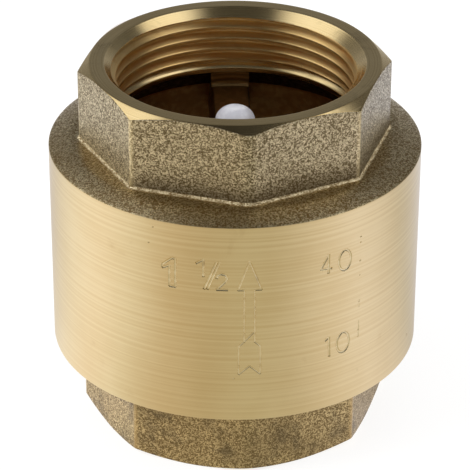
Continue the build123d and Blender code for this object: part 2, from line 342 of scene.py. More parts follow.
# Finish of the foot round between the flats and the shoulder: lower roughness, and a lighter colour that is a
# painted highlight along the foot.
burnishAndPaintedHighlightFinish = blastedBrass("burnishAndPaintedHighlightBrass", {
    "dark": rgb(116, 92, 52), "light": rgb(255, 238, 196), "grain": 0.00024, "rough": (0.20, 0.34),
    "metallic": 0.4, "patch": rgb(214, 192, 146), "patchDepth": 0.15, "stain": rgb(190, 164, 116),
    "stainSize": 0.006, "stainShare": 0.3, "stainDepth": 0.3, "bump": 0.8, "bumpDepth": 0.00005})
markFinish = machinedBrass("cutMarkBrass", {
    "dark": rgb(228, 208, 162), "light": rgb(248, 232, 192), "feed": 0.00120, "waver": 0.4, "chatter": 0.1,
    "rough": (0.24, 0.32), "bump": 0.1, "bumpDepth": 0.00002,
    "stain": rgb(130, 102, 58), "stainSize": 0.004, "stainShare": 0.3, "stainDepth": 0.4})
# The chamber roof faces down into the dark; its dark colour is painted shade.
paintedShadeRoofFinish = blastedBrass("chamberRoofPaintedShadeBrass", {
    "dark": rgb(74, 56, 34), "light": rgb(104, 80, 48), "grain": 0.00060, "rough": (0.45, 0.6),
    "patch": rgb(70, 50, 30), "patchDepth": 0.4, "stain": rgb(50, 36, 22), "stainSize": 0.016,
    "stainShare": 0.4, "stainDepth": 0.5, "bump": 0.4, "bumpDepth": 0.00005})
chamberFinish = blastedBrass("chamberWallBrass", {
    "dark": rgb(214, 160, 88), "light": rgb(228, 178, 106), "grain": 0.00090, "rough": (0.34, 0.42),
    "patch": rgb(200, 144, 78), "patchDepth": 0.5, "stain": rgb(150, 100, 50), "stainSize": 0.012,
    "stainShare": 0.4, "stainDepth": 0.4, "bump": 0.15, "bumpDepth": 0.00006})
# The spider's arms and hub take darker copies of the chamber and socket brass: painted shade.
paintedShadeArmFinish = blastedBrass("spiderArmPaintedShadeBrass", {
    "dark": rgb(146, 112, 70), "light": rgb(164, 126, 80), "grain": 0.00090, "rough": (0.38, 0.46),
    "patch": rgb(130, 96, 56), "patchDepth": 0.5, "stain": rgb(104, 72, 38), "stainSize": 0.010,
    "stainShare": 0.4, "stainDepth": 0.4, "bump": 0.15, "bumpDepth": 0.00006})
paintedShadeBoredArmFinish = machinedBrass("boredArmPaintedShadeBrass", {
    "dark": rgb(128, 100, 62), "light": rgb(186, 152, 100), "feed": 0.00060, "waver": 0.6, "chatter": 0.2,
    "rough": (0.28, 0.38), "bump": 0.6, "bumpDepth": 0.00003,
    "stain": rgb(96, 70, 40), "stainSize": 0.004, "stainShare": 0.3, "stainDepth": 0.5})
print("brass finishes ready")


# Shells of the body and of the inlet connection: closed rings of points, one for each direction

barrelRadius = 35.5
octagon = {"flatRadius": 27.5, "sides": 8, "cornerRadius": 1.2, "flashCornerRadius": 4.4, "faceRadius": 27.4,
           "coneAngle": 30.0}  # the front and back corners lie on the forging's flash line and are rounder
socket = {"pitch": 2.309, "crestRadius": 22.425, "rootRadius": 23.9, "mouthRadius": 24.7, "depth": 11.7,
          "crestRound": 0.02, "rootRound": 0.22, "start": 1.0, "leadInDepth": 1.8, "leadInRound": 0.08,
          "runOut": 1.3, "runOutShare": 0.4, "runOutSlope": 1.6, "runOutRound": 0.1, "rowsPerTurn": 24}
bodySizes = {"face": 73.5, "foot": 58.4, "edge": 57.0, "base": 16.25, "shoulderStart": 30.9,
             "shoulderSteps": 9, "shoulderBend": 1.25, "unionRadius": 32.6, "unionLedge": 23.8,
             "chamberRadius": 30.4, "chamberTop": 41.6, "roofEdge": (27.3, 55.6), "boreRadius": 23.1,
             "boreBase": 60.0, "boreTop": 61.0}
inletSizes = {"flange": 17.4, "unionRadius": 32.56, "chamfer": 0.6, "top": 22.3, "lipFoot": 21.6,
              "lipRadius": 20.6, "lipTop": 24.9, "seatBore": 19.0, "seatBoreEnd": 19.7,
              "throatRadius": 22.5, "throatTop": 14.7, "throatBase": 13.1}


def columnAngles():
    half = 180 / octagon["sides"]
    side = [0.22, 0.45, 0.67, 0.89, 1.15, 1.6, 2.1, 2.6] + [2.6 + (half - 2.6) * k / 10 for k in range(1, 11)]
    local = [-a for a in reversed(side[:-1])] + [0.0] + side
    return [math.radians(corner * 2 * half + a) for corner in range(octagon["sides"]) for a in local]


def octagonReach(angle):
    half = math.pi / octagon["sides"]
    local = abs((angle + half) % (2 * half) - half)
    corner = octagon["flashCornerRadius" if abs(math.sin(angle)) > math.cos(half) else "cornerRadius"]
    centre = (octagon["flatRadius"] - corner) / math.cos(half)
    rounded = corner ** 2 - (centre * math.sin(local)) ** 2
    tangent = half - math.atan((octagon["flatRadius"] - corner) * math.tan(half) / octagon["flatRadius"])
    if local < tangent:
        return centre * math.cos(local) + math.sqrt(rounded)
    return octagon["flatRadius"] / math.cos(half - local)


def softCorner(before, corner, after, size, steps):  # a small round between two straight runs
    def towards(end):
        length = math.dist(corner, end)
        share = min(size / length, 0.48)
        return [corner[i] + (end[i] - corner[i]) * share for i in (0, 1)]
    first, last = towards(before), towards(after)
    return [tuple((1 - t) ** 2 * first[i] + 2 * t * (1 - t) * corner[i] + t * t * last[i] for i in (0, 1))
            for t in (k / steps for k in range(steps + 1))]


def between(first, last, count):  # points on the run, without its ends
    return [tuple(first[i] + (last[i] - first[i]) * k / (count + 1) for i in (0, 1))
            for k in range(1, count + 1)]


def traceRows(corners):  # each corner: point, size of its round, steps in it, points on the run after it, zones
    rows = []
    for index, (point, size, steps, fill, zone) in enumerate(corners):
        roundZone, runZone = zone if isinstance(zone, tuple) else (zone, zone)
        before, after = corners[index - 1][0], corners[(index + 1) % len(corners)][0]
        soft = softCorner(before, point, after, size, steps) if steps else [point]
        rows += [(p, roundZone) for p in soft[:-1]] + [(soft[-1], runZone)]
        rows += [(p, runZone) for p in between(soft[-1], after, fill)]
    return rows


# The zone of the foot round takes a finish whose lighter colour is a painted highlight.
turned, blasted, barrelZone, roof, wearAndPaintedHighlight, threadZone, chamber, shoulderZone = range(8)


def threadRows(face, inward, turn):  # rows that climb with the thread, from the relief out to the mouth
    pitch, perTurn = socket["pitch"], socket["rowsPerTurn"]
    shallow, deep = 0.12, socket["depth"] - 0.02
    last = math.ceil(deep / pitch * perTurn) + perTurn
    rows = []
    for k in range(last, -1, -1):
        depth = k * pitch / perTurn - (turn if inward < 0 else 1 - turn) * pitch
        depth = min(max(depth, shallow), deep)
        zone = "leadIn" if depth < socket["leadInDepth"] else "thread"
        reach = max(socket["rootRadius"], socket["mouthRadius"] - depth)
        rows.append(((reach, face + inward * depth), 0, 0, 0, zone))
    return rows


def shellMesh(name, rowsFor, inward):
    angles = columnAngles()
    verts, threaded, columns, zones = [], [], [], []
    for angle in angles:
        rows = rowsFor(octagonReach(angle), angle / (2 * math.pi) % 1)
        column, last = [], None
        for (radius, height), zone in rows:
            if last != (radius, height):
                verts.append((radius * math.cos(angle) * mm, radius * math.sin(angle) * mm, height * mm))
                threaded.append(1.0 if zone in ("leadIn", "thread") else 0.0)
            last = (radius, height)
            column.append(len(verts) - 1)
        columns.append(column)
        zones.append([{"leadIn": turned, "thread": threadZone}.get(zone, zone) for point, zone in rows])
    count, threadCount = len(rows), sum(zone in ("leadIn", "thread") for point, zone in rows)
    firstThread = count - threadCount
    climb = -int(inward) * socket["rowsPerTurn"]

    def acrossSeam(row):  # the row that this one meets after a full turn
        return row if row < firstThread else min(max(row + climb, firstThread), count - 1)

    starts = [angle / (2 * math.pi) % 1 for angle in angles]
    seam = starts.index(min(starts)) - 1  # the last column before the turn starts again
    faces, faceZones = [], []
    for index, column in enumerate(columns):
        other = columns[(index + 1) % len(columns)]
        meets = acrossSeam if index == seam % len(columns) else (lambda row: row)
        for row in range(count):
            below = (row + 1) % count
            ring = [column[row], column[below], other[meets(below)], other[meets(row)]]
            ring = [v for k, v in enumerate(ring) if v != ring[k - 1]]
            if len(set(ring)) >= 3:
                faces.append(ring)
                faceZones.append(zones[index][row])
    shell = newObject(name, verts, faces)
    shell.data.attributes.new("threaded", "FLOAT", "POINT").data.foreach_set("value", threaded)
    shell.data.attributes.new("zone", "INT", "FACE").data.foreach_set("value", faceZones)
    return shell


def coneDrop(reach):  # how far the chamfer has come down from the end face
    return (reach - octagon["faceRadius"]) * math.tan(math.radians(octagon["coneAngle"]))


def bodyRows(reach, turn):
    sizes = bodySizes
    face, foot, edge, base, start = (sizes[k] for k in ("face", "foot", "edge", "base", "shoulderStart"))
    union, ledge, cavity, bore = (sizes[k] for k in ("unionRadius", "unionLedge", "chamberRadius", "boreRadius"))
    shares = [k / sizes["shoulderSteps"] for k in range(1, sizes["shoulderSteps"])]
    shoulder = [(start + (barrelRadius - start) * share, foot - (foot - edge) * share ** sizes["shoulderBend"])
                for share in shares]
    outside = [
        ((socket["mouthRadius"], face), 0.10, 3, 3, turned), ((octagon["faceRadius"], face), 0.05, 2, 3, turned),
        ((reach, face - coneDrop(reach)), 0.12, 3, 6, blasted), ((reach, foot), 0.45, 6, 2, (wearAndPaintedHighlight, shoulderZone)),
        ((start, foot), 0, 0, 0, shoulderZone), *((point, 0, 0, 0, shoulderZone) for point in shoulder),
        ((barrelRadius, edge), 0.10, 2, 3, barrelZone), ((barrelRadius, base), 0.10, 2, 1, barrelZone)]
    inside = [
        ((union, base), 0.15, 2, 2, turned), ((union, ledge), 0.10, 1, 1, turned),
        ((cavity, ledge), 0.1, 1, 3, chamber), ((cavity, sizes["chamberTop"]), 1.2, 3, 4, chamber),
        (sizes["roofEdge"], 0.5, 3, 3, (chamber, roof)), ((bore, sizes["boreBase"]), 0.12, 2, 1, (roof, turned)),
        ((bore, sizes["boreTop"]), 0.10, 2, 1, turned),
        ((socket["rootRadius"], face - socket["depth"]), 0.06, 1, 0, turned)]
    return traceRows(outside + inside + threadRows(face, -1, turn))


def inletRows(reach, turn):
    sizes = inletSizes
    flange, union, chamfer, top = (sizes[k] for k in ("flange", "unionRadius", "chamfer", "top"))
    lip, seat, throat = sizes["lipTop"], sizes["seatBore"], sizes["throatRadius"]
    outside = [
        ((socket["mouthRadius"], 0.0), 0.10, 3, 3, turned), ((octagon["faceRadius"], 0.0), 0.05, 2, 3, turned),
        ((reach, coneDrop(reach)), 0.12, 3, 6, blasted), ((reach, flange), 0.12, 2, 3, turned),
        ((union - chamfer, flange), 0.1, 1, 0, turned), ((union, flange + chamfer), 0.1, 1, 1, turned),
        ((union, top), 0.15, 2, 3, turned)]
    inside = [
        ((sizes["lipFoot"], top), 0.25, 3, 0, turned), ((sizes["lipRadius"], lip), 0.15, 2, 1, turned),
        ((seat, lip), 0.15, 2, 3, turned), ((seat, sizes["seatBoreEnd"]), 1.4, 4, 2, turned),
        ((throat, sizes["throatTop"]), 1.0, 4, 1, turned), ((throat, sizes["throatBase"]), 0.08, 1, 1, turned),
        ((socket["rootRadius"], socket["depth"]), 0.06, 1, 0, turned)]
    return traceRows(outside + inside + threadRows(0.0, 1, turn))


# Geometry Nodes tree that cuts the pipe thread and its lead-in, then gives each zone its finish

finishes = {"Turned": socketFinish, "Blasted": forgedFinish, "Barrel": barrelFinish, "Roof": paintedShadeRoofFinish,
            "Burnish And Painted Highlight": burnishAndPaintedHighlightFinish, "Thread": threadFinish, "Chamber": chamberFinish,
            "Shoulder": shoulderFinish}  # in the order of the zones


def makeThreadTree():
    sizes = {"Pitch": "pitch", "Crest Radius": "crestRadius", "Root Radius": "rootRadius",
             "Mouth Radius": "mouthRadius", "Depth": "depth", "Run-out": "runOut", "Start": "start"}
    tree, given, out = newGroup("cutPipeThread", "GeometryNodeTree", [
        ("Geometry", "NodeSocketGeometry", None), ("Face Height", floatIn, bodySizes["face"] * mm),
        ("Inward", floatIn, -1.0), *((label, floatIn, socket[size] * mm) for label, size in sizes.items()),
        ("Crest Round", floatIn, socket["crestRound"]), ("Root Round", floatIn, socket["rootRound"]),
        *((label, "NodeSocketMaterial", None) for label in finishes)],
        [("Geometry", "NodeSocketGeometry")])
    tree.is_modifier = True
    x, y, z = axesOf(tree, place(tree, "GeometryNodeInputPosition").outputs[0])
    here, turn = aroundAxis(tree, x, y)
    climbed = over(tree, plus(tree, z, given["Start"]), given["Pitch"])
    phase = calc(tree, "FRACT", minus(tree, climbed, turn))
    tent = calc(tree, "ABSOLUTE", minus(tree, times(tree, phase, 2.0), 1.0))  # 0 on a crest, 1 in a root
    flank = times(tree, minus(tree, tent, 1 / 6), 1.5)
    flank = calc(tree, "SMOOTH_MAX", flank, 0.0, given["Crest Round"])
    flank = calc(tree, "SMOOTH_MIN", flank, 1.0, given["Root Round"])
    height = minus(tree, given["Root Radius"], given["Crest Radius"])
    radius = plus(tree, given["Crest Radius"], times(tree, flank, height))
    depthHere = times(tree, minus(tree, z, given["Face Height"]), given["Inward"])
    leadIn = minus(tree, given["Mouth Radius"], depthHere)
    radius = calc(tree, "SMOOTH_MAX", radius, leadIn, socket["leadInRound"] * mm)
    fromEnd = minus(tree, given["Depth"], depthHere)
    fromRunOut = minus(tree, fromEnd, times(tree, given["Run-out"], socket["runOutShare"]))
    runOut = minus(tree, given["Root Radius"], times(tree, fromRunOut, socket["runOutSlope"]))
    radius = calc(tree, "MINIMUM", calc(tree, "SMOOTH_MAX", radius, runOut, socket["runOutRound"] * mm),
                  calc(tree, "MAXIMUM", given["Root Radius"], leadIn))
    scale = over(tree, radius, here)
    target = place(tree, "ShaderNodeCombineXYZ", {0: times(tree, x, scale), 1: times(tree, y, scale), 2: z})
    threaded, zone = (place(tree, "GeometryNodeInputNamedAttribute", {"Name": name}, data_type=kind).outputs[0]
                      for name, kind in (("threaded", "FLOAT"), ("zone", "INT")))
    cut = place(tree, "GeometryNodeSetPosition", {"Geometry": given["Geometry"], "Position": target.outputs[0],
                "Selection": calc(tree, "GREATER_THAN", threaded, 0.5)}).outputs[0]
    solid = place(tree, "GeometryNodeRealizeInstances", {0: cut}).outputs[0]
    for value, label in enumerate(finishes):
        chosen = place(tree, "FunctionNodeCompare", {2: zone, 3: value}, data_type="INT", operation="EQUAL")
        solid = place(tree, "GeometryNodeSetMaterial", {"Geometry": solid, "Selection": chosen.outputs[0],
                                                        "Material": given[label]}).outputs[0]
    tree.links.new(solid, out.inputs[0])
    return tree


threadTree = makeThreadTree()


def cutThread(shell, faceHeight, inward, forging):
    modifier = shell.modifiers.new("cutPipeThread", "NODES")
    modifier.node_group = threadTree
    values = {"Face Height": faceHeight * mm, "Inward": inward, **finishes, "Blasted": forging}
    for item in threadTree.interface.items_tree:
        if item.in_out == "INPUT" and item.name in values:
            modifier[item.identifier] = values[item.name]
    return bakeModifiers(shell)


# Spider that guides the stem: three forged arms and a bored hub

spider = {"arms": 3, "firstAngle": 87.5, "halfWidth": 3.35, "widening": 0.025, "hubFlare": 0.9,
          "flareFade": 0.8, "draft": 0.25, "base": 49.9, "top": 57.05, "roof": 60.2, "edgeRound": 0.5,
          "baseRound": 0.3, "hubRadius": 7.0, "boreRadius": 3.95, "hubBase": 45.4, "hubColumns": 72,
          "armStart": 5.0, "armStep": 0.9, "armSteps": 19,
          "footRise": [(22.2, 0.0), (22.55, 0.05), (22.85, 0.2), (23.03, 0.42), (23.1, 0.75)],
          "inWall": [(26.4, 0.0), (29.0, 0.0), (31.5, 0.0)]}  # reach, and height over the arm's top


def armMesh(angle):
    base, top = spider["base"], spider["top"]
    stations = [(spider["armStart"] + spider["armStep"] * k, top) for k in range(spider["armSteps"])]
    stations += [(reach, top + rise) for reach, rise in spider["footRise"]]
    bored = len(stations) - 1  # the last station that the boring tool has faced
    stations += [(23.12, spider["roof"]), (25.0, spider["roof"])]
    stations += [(reach, top + rise) for reach, rise in spider["inWall"]]
    direction = Vector((math.cos(angle), math.sin(angle), 0))
    across = Vector((-math.sin(angle), math.cos(angle), 0))
    verts = []
    for reach, level in stations:
        past = max(reach - spider["hubRadius"], 0)
        flare = spider["hubFlare"] * math.exp(-past / spider["flareFade"])
        half = spider["halfWidth"] + spider["widening"] * past + flare
        low, soft, edge = half + spider["draft"], spider["baseRound"], spider["edgeRound"]
        side = [(-low, base + soft), (-low + soft, base), (low - soft, base), (low, base + soft)]
        arc = [(half - edge * (1 - math.sin(a)), level - edge * (1 - math.cos(a))) for a in
               (math.radians(d) for d in (90, 60, 30, 0))]
        section = side + arc + [(-u, z) for u, z in reversed(arc)]
        for u, z in section:
            along = math.sqrt(reach ** 2 - u ** 2) if reach > abs(u) else 0.1
            verts.append((direction * along + across * u) * mm + Vector((0, 0, z * mm)))
    arm = tubeMesh("spiderArm", verts, len(section))
    for finish in (paintedShadeArmFinish, paintedShadeBoredArmFinish):
        arm.data.materials.append(finish)
    for face in range((bored - 3) * len(section), (bored + 1) * len(section)):
        arm.data.polygons[face].material_index = 1
    return arm


def latheMesh(name, outline, columns):
    verts, faces, count = [], [], len(outline)
    for column in range(columns):
        angle = 2 * math.pi * column / columns
        verts += [(r * math.cos(angle) * mm, r * math.sin(angle) * mm, z * mm) for r, z in outline]
        start, after = column * count, (column + 1) % columns * count
        faces += [(start + k, start + (k + 1) % count, after + (k + 1) % count, after + k) for k in range(count)]
    return newObject(name, verts, faces)


def joinSolid(piece, others, operation):
    together = bpy.data.collections.new("cutters")
    for other in others:
        together.objects.link(other)
    modifier = piece.modifiers.new("join", "BOOLEAN")
    modifier.operation, modifier.solver = operation, "MANIFOLD"
    modifier.operand_type, modifier.collection = "COLLECTION", together
    modifier.material_mode = "TRANSFER"
    bakeModifiers(piece)
    for other in others:
        bpy.data.objects.remove(other)
    bpy.data.collections.remove(together)
    return piece


def outwards(piece):  # a closed solid whose signed volume is negative is inside out
    total = 0.0
    for polygon in piece.data.polygons:
        corners = [piece.data.vertices[i].co for i in polygon.vertices]
        for k in range(1, len(corners) - 1):
            total += corners[0].dot(corners[k].cross(corners[k + 1]))
    if total < 0:
        piece.data.flip_normals()
    return piece


bodyShell = shellMesh("bodyShell", bodyRows, -1.0)
outwards(cutThread(bodyShell, bodySizes["face"], -1.0, forgedFinish))
print("body shell:", len(bodyShell.data.polygons), "faces")
hubBore, hubWall, hubBase, hubTop = (spider[k] for k in ("boreRadius", "hubRadius", "hubBase", "top"))
hubRows = traceRows([((hubBore, hubBase), 0.4, 2, 0, turned), ((hubWall, hubBase), 0.8, 4, 1, turned),
                     ((hubWall, hubTop), 0.5, 4, 1, turned), ((hubBore, hubTop), 0.3, 2, 1, turned)])
hub = latheMesh("spiderHub", [point for point, zone in hubRows], spider["hubColumns"])
hub.data.materials.append(paintedShadeArmFinish)
arms = [armMesh(math.radians(spider["firstAngle"] + 360 * k / spider["arms"])) for k in range(spider["arms"])]
for part in [hub, *arms]:
    outwards(part)
joinSolid(bodyShell, [hub, *arms], "UNION")
print("spider joined:", len(bodyShell.data.polygons), "faces")

inletShell = shellMesh("inletShell", inletRows, 1.0)
outwards(cutThread(inletShell, 0.0, 1.0, inletForgedFinish))
print("inlet shell:", len(inletShell.data.polygons), "faces")


# Marks cut into the barrel: flow arrow, plain size numbers and a dotted scratch, as (along the wall, height)

marks = {
    "arrowWidth": 0.38, "numberWidth": 0.52, "depthShare": 0.31, "stepLength": 0.6, "overlap": 0.05, "sides": 24,
    "arrow": [
        [(-2.55, 44.2), (-0.44, 50.2), (1.8, 44.2)], [(-2.55, 44.2), (-1.36, 44.2)], [(0.52, 44.2), (1.8, 44.2)],
        [(-1.36, 44.2), (-1.36, 33.1)], [(0.52, 44.2), (0.62, 33.1)],
        [(-2.36, 32.25), (-2.36, 26.25)], [(1.65, 32.25), (1.65, 26.25)],
        [(-2.36, 26.25), (-0.38, 28.05), (1.65, 26.25)], [(-2.36, 32.25), (0.3, 35.2)],
        [(0.72, 33.1), (1.65, 32.25)]],
    "bigOne": [[(-16.6, 48.25), (-14.75, 49.85), (-14.1, 49.85), (-14.1, 43.95), (-15.25, 43.95),
                (-15.25, 48.25), (-16.6, 47.55), (-16.6, 48.25)]],
    "overOne": [[(-10.2, 49.45), (-8.85, 50.3), (-8.85, 46.75)]],
    "slash": [[(-6.45, 50.0), (-8.75, 44.2)], [(-5.9, 50.0), (-8.15, 44.2)]],
    "lowTwo": [[(-6.4, 46.55), (-6.25, 47.2), (-5.6, 47.55), (-4.8, 47.35), (-4.5, 46.65), (-4.9, 45.9),
                (-6.45, 44.25), (-4.4, 44.25)]],
    "four": [[(14.75, 49.3), (13.05, 46.45), (15.45, 46.2)], [(14.75, 49.3), (14.75, 45.3)]],
    "one": [[(14.3, 31.0), (15.15, 31.6), (15.3, 27.35)]],
    "ovals": [(18.3, 47.05, 1.36, 2.1), (18.3, 29.5, 1.4, 2.15)],
    # heights of a dotted scratch: where each dot starts and ends, and how wide it is
    "scratch": [(50.85, 50.65, 0.44), (49.65, 49.5, 0.36), (45.9, 45.6, 0.42), (42.8, 42.6, 0.26),
                (37.4, 36.9, 0.3), (36.5, 35.9, 0.24), (32.8, 31.9, 0.32), (31.8, 30.8, 0.44),
                (30.6, 29.4, 0.3), (22.3, 22.0, 0.2)],
    "scratchAlong": (21.95, 21.98),  # at the top and the low end of each dot
    "dents": [(39.8, 21.2, 0.5), (-18.4, 55.6, 0.4), (-19.3, 52.2, 0.4), (-3.3, 25.4, 0.34)],  # and width
    "dentRun": (0.06, -0.12),
}


def onBarrel(along, height, lift=0.0):
    angle = along / barrelRadius
    reach = barrelRadius + lift
    return Vector((reach * math.sin(angle), -reach * math.cos(angle), height)) * mm


def grooveCutter(start, end, width):
    length, overlap, sides = math.dist(start, end), marks["overlap"], marks["sides"]
    steps = max(1, round(length / marks["stepLength"]))
    depth = width * marks["depthShare"]
    bore = (width * width / 4 + depth * depth) / (2 * depth)  # radius of the tool
    run, verts = (end[0] - start[0], end[1] - start[1]), []
    for k in range(steps + 1):
        t = (k / steps) * (1 + 2 * overlap / length) - overlap / length
        along, height = start[0] + run[0] * t, start[1] + run[1] * t
        centre = onBarrel(along, height, bore - depth)
        out = Vector((centre.x, centre.y, 0)).normalized()
        ahead = (onBarrel(along + run[0] * 0.01, height + run[1] * 0.01, bore - depth) - centre).normalized()
        aside = out.cross(ahead).normalized()
        for s in range(sides):
            a = 2 * math.pi * s / sides
            verts.append(centre + (out * math.cos(a) + aside * math.sin(a)) * bore * mm)
    faces = []
    for ring in range(0, steps * sides, sides):
        for s in range(sides):
            a, b = ring + s, ring + (s + 1) % sides
            faces.append((a, b, b + sides, a + sides))
    faces += [tuple(reversed(range(sides))), tuple(range(len(verts) - sides, len(verts)))]
    return outwards(newObject("groove", verts, faces))


strokes = []  # start, end and width of each straight cut
for name in ("arrow", "bigOne", "overOne", "slash", "lowTwo", "four", "one"):
    width = marks["arrowWidth" if name == "arrow" else "numberWidth"]
    strokes += [(a, b, width) for line in marks[name] for a, b in zip(line, line[1:])]
for centreAlong, centreHeight, halfWide, halfHigh in marks["ovals"]:
    turns = [math.radians(d) for d in range(0, 361, 18)]
    oval = [(centreAlong + halfWide * math.cos(a), centreHeight + halfHigh * math.sin(a)) for a in turns]
    strokes += [(a, b, marks["numberWidth"]) for a, b in zip(oval, oval[1:])]
atTop, atLow = marks["scratchAlong"]
strokes += [((atTop, top), (atLow, low), width) for top, low, width in marks["scratch"]]
runAlong, runUp = marks["dentRun"]
strokes += [((along, height), (along + runAlong, height + runUp), width)
            for along, height, width in marks["dents"]]
cutters = [grooveCutter(*stroke) for stroke in strokes]
for cutter in cutters:
    cutter.data.materials.append(markFinish)
joinSolid(bodyShell, cutters, "DIFFERENCE")
print("marks cut:", len(cutters), "strokes,", len(bodyShell.data.polygons), "faces")


def smoothShell(shell, sharpAngle):
    mesh = shell.data
    for polygon in mesh.polygons:
        polygon.use_smooth = True
    mesh.set_sharp_from_angle(angle=math.radians(sharpAngle))
    normals = [Vector(n.vector) for n in mesh.corner_normals]
    for polygon in mesh.polygons:
        out = Vector((polygon.center.x, polygon.center.y, 0))
        if abs(out.length / mm - barrelRadius) < 0.02 and polygon.normal.dot(out.normalized()) > 0.9995:
            for corner in polygon.loop_indices:
                point = mesh.vertices[mesh.loops[corner].vertex_index].co
                normals[corner] = Vector((point.x, point.y, 0)).normalized()
    mesh.normals_split_custom_set(normals)


smoothShell(bodyShell, 32)
smoothShell(inletShell, 32)
for shell, body, node, slotName in ((bodyShell, "housing", "body", "body_brass"),
                                    (inletShell, "housing", "inlet_connection", "inlet_brass")):
    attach(shell, body)
    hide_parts(node)


# Spring: round wire with closed ends ground flat

wire = {"radius": 8.4, "wire": 0.5, "base": 31.4, "top": 49.8, "working": 5.0, "closed": 0.9,
        "pitchGap": 0.08, "ground": 0.3, "perTurn": 40, "sides": 12, "openLength": 9.4}


def springWire():
    closedPitch = 2 * wire["wire"] * (1 + wire["pitchGap"])
    offset = 2 * wire["wire"] * (0.5 - wire["ground"])
    free = wire["top"] - wire["base"] - 2 * offset - 2 * wire["closed"] * closedPitch
    total = wire["working"] + 2 * wire["closed"]
    steps = round(total * wire["perTurn"])
    verts, sides = [], wire["sides"]
    for k in range(steps + 1):
        turn = total * k / steps
        worked = min(max(turn - wire["closed"], 0), wire["working"])
        height = wire["base"] + offset + (turn - worked) * closedPitch + worked * free / wire["working"]
        angle = 2 * math.pi * turn
        for s in range(sides):
            a = 2 * math.pi * s / sides
            reach = wire["radius"] + wire["wire"] * math.cos(a)
            level = min(max(height + wire["wire"] * math.sin(a), wire["base"]), wire["top"])
            verts.append((reach * math.cos(angle) * mm, reach * math.sin(angle) * mm, level * mm))
    return tubeMesh("springWire", verts, sides)


spring = springWire()
outwards(spring)
for polygon in spring.data.polygons:
    polygon.use_smooth = True
spring.data.set_sharp_from_angle(angle=math.radians(50))
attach(spring, "housing")
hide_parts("spring")
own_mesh(spring)
print("spring wound:", len(spring.data.polygons), "faces")


# Finishes of the moulded, rubber, fibre and steel pieces

def nylon(name, look):
    material, tree, shader, where = newMaterial(name, Subsurface_Weight=0.25, Subsurface_Scale=0.003,
                                                Subsurface_Radius=(1.0, 0.95, 0.9))
    swirls = place(tree, "ShaderNodeGroup", {"Vector": where, "Feed": look["swirl"], "Waver": 1.2,
                                             "Chatter": 0.0}, node_tree=toolLines).outputs["Height"]
    cloud = noise(tree, {"Vector": where, "Scale": 420.0, "Detail": 4.0})
    connect(tree, shader, {
        "Base Color": blendColour(tree, spread(tree, cloud, 0.35, 0.7), look["dark"], look["light"]),
        "Roughness": spread(tree, cloud, 0.3, 0.7, 0.34, 0.5), "Normal": bump(tree, swirls, 0.25, 0.00003)})
    return material


def sheetFinish(name, look):
    material, tree, shader, where = newMaterial(name)
    fine = noise(tree, {"Vector": where, "Scale": look["scale"], "Detail": 5.0, "Roughness": 0.7})
    connect(tree, shader, {
        "Base Color": blendColour(tree, spread(tree, fine, 0.3, 0.7), look["dark"], look["light"]),
        "Roughness": spread(tree, fine, 0.3, 0.7, *look["rough"]), "Normal": bump(tree, fine, 0.4, 0.00004)})
    return material


def drawnSteel(name):
    material, tree, shader, where = newMaterial(name, Metallic=1.0)
    along = noise(tree, {"Vector": where, "Scale": 900.0, "Detail": 3.0})
    connect(tree, shader, {
        "Base Color": blendColour(tree, along, rgb(176, 176, 180), rgb(216, 216, 220)),
        "Roughness": spread(tree, along, 0.3, 0.7, 0.22, 0.34), "Normal": bump(tree, along, 0.2, 0.00001)})
    return material


spring.data.materials.append(drawnSteel("springSteel"))
innerFinishes = {
    "poppet": nylon("naturalNylon", {
        "dark": rgb(200, 200, 208), "light": rgb(226, 226, 231), "swirl": 0.0005}),
    "gasket_retainer": nylon("retainerNylon", {
        "dark": rgb(198, 198, 204), "light": rgb(224, 224, 228), "swirl": 0.0007}),
    "seat_gasket": sheetFinish("nitrileRubber", {
        "dark": rgb(26, 26, 27), "light": rgb(44, 44, 45), "scale": 1400.0, "rough": (0.5, 0.7)}),
    "union_seal": sheetFinish("sealFibre", {
        "dark": rgb(66, 96, 84), "light": rgb(98, 128, 112), "scale": 900.0, "rough": (0.7, 0.9)})}
for node, finish in innerFinishes.items():
    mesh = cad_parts[node].data
    for index in range(len(mesh.materials)):
        mesh.materials[index] = finish
print("inner pieces finished")


# Stage: pale floor, white room, two lamps, and a grey tent with bright windows, seen in reflections only

stage = {"floorSize": 3.0, "floorDrop": 0.00005, "tentRadius": 1.6, "middle": 0.04, "step": 6,
         # each window: bearings from the front with the softness of those edges, elevations in degrees, strength
         "windows": [(-143, 5, -68, 18, 32, 65, 1.2), (46, 20, 103, 8, 37, 65, 1.25),
                     (103, 8, 130, 6, 49, 65, 1.15)],
         "windowEdge": 5.0,
         "tentGlow": [(0, 0.42), (10, 0.32), (20, 0.21), (38, 0.12), (64, 0.066), (80, 0.045), (90, 0.028)],
         "rightShare": 0.62,  # how much of that glow the tent keeps on its right side
         "floorGlow": [(-180, (1.08, 1.1, 1.25)), (-163, (0.98, 1.03, 1.25)), (-143, (0.76, 0.78, 0.89)),
                       (-123, (0.88, 0.88, 0.91)), (-102, (1.07, 1.07, 1.1)), (-82, (1.1, 1.06, 1.08)),
                       (-61, (0.93, 0.92, 0.89)), (-40, (0.7, 0.62, 0.5)), (-19, (0.58, 0.52, 0.4)),
                       (1, (0.59, 0.56, 0.45)), (22, (0.61, 0.57, 0.48)), (43, (0.84, 0.81, 0.8)),
                       (64, (0.95, 0.94, 1.03)), (84, (0.82, 0.8, 0.84)), (105, (0.66, 0.67, 0.7)),
                       (125, (0.78, 0.8, 0.93)), (146, (0.93, 1.03, 1.3)), (166, (1.0, 1.05, 1.15)),
                       (180, (1.08, 1.1, 1.25))]}


def fillRamp(ramp, stops):  # stops: position, colour
    elements = ramp.color_ramp.elements
    for position, colour in stops[1:-1]:
        elements.new(position).color = (*colour, 1)
    for end, (position, colour) in ((elements[0], stops[0]), (elements[-1], stops[-1])):
        end.position, end.color = position, (*colour, 1)


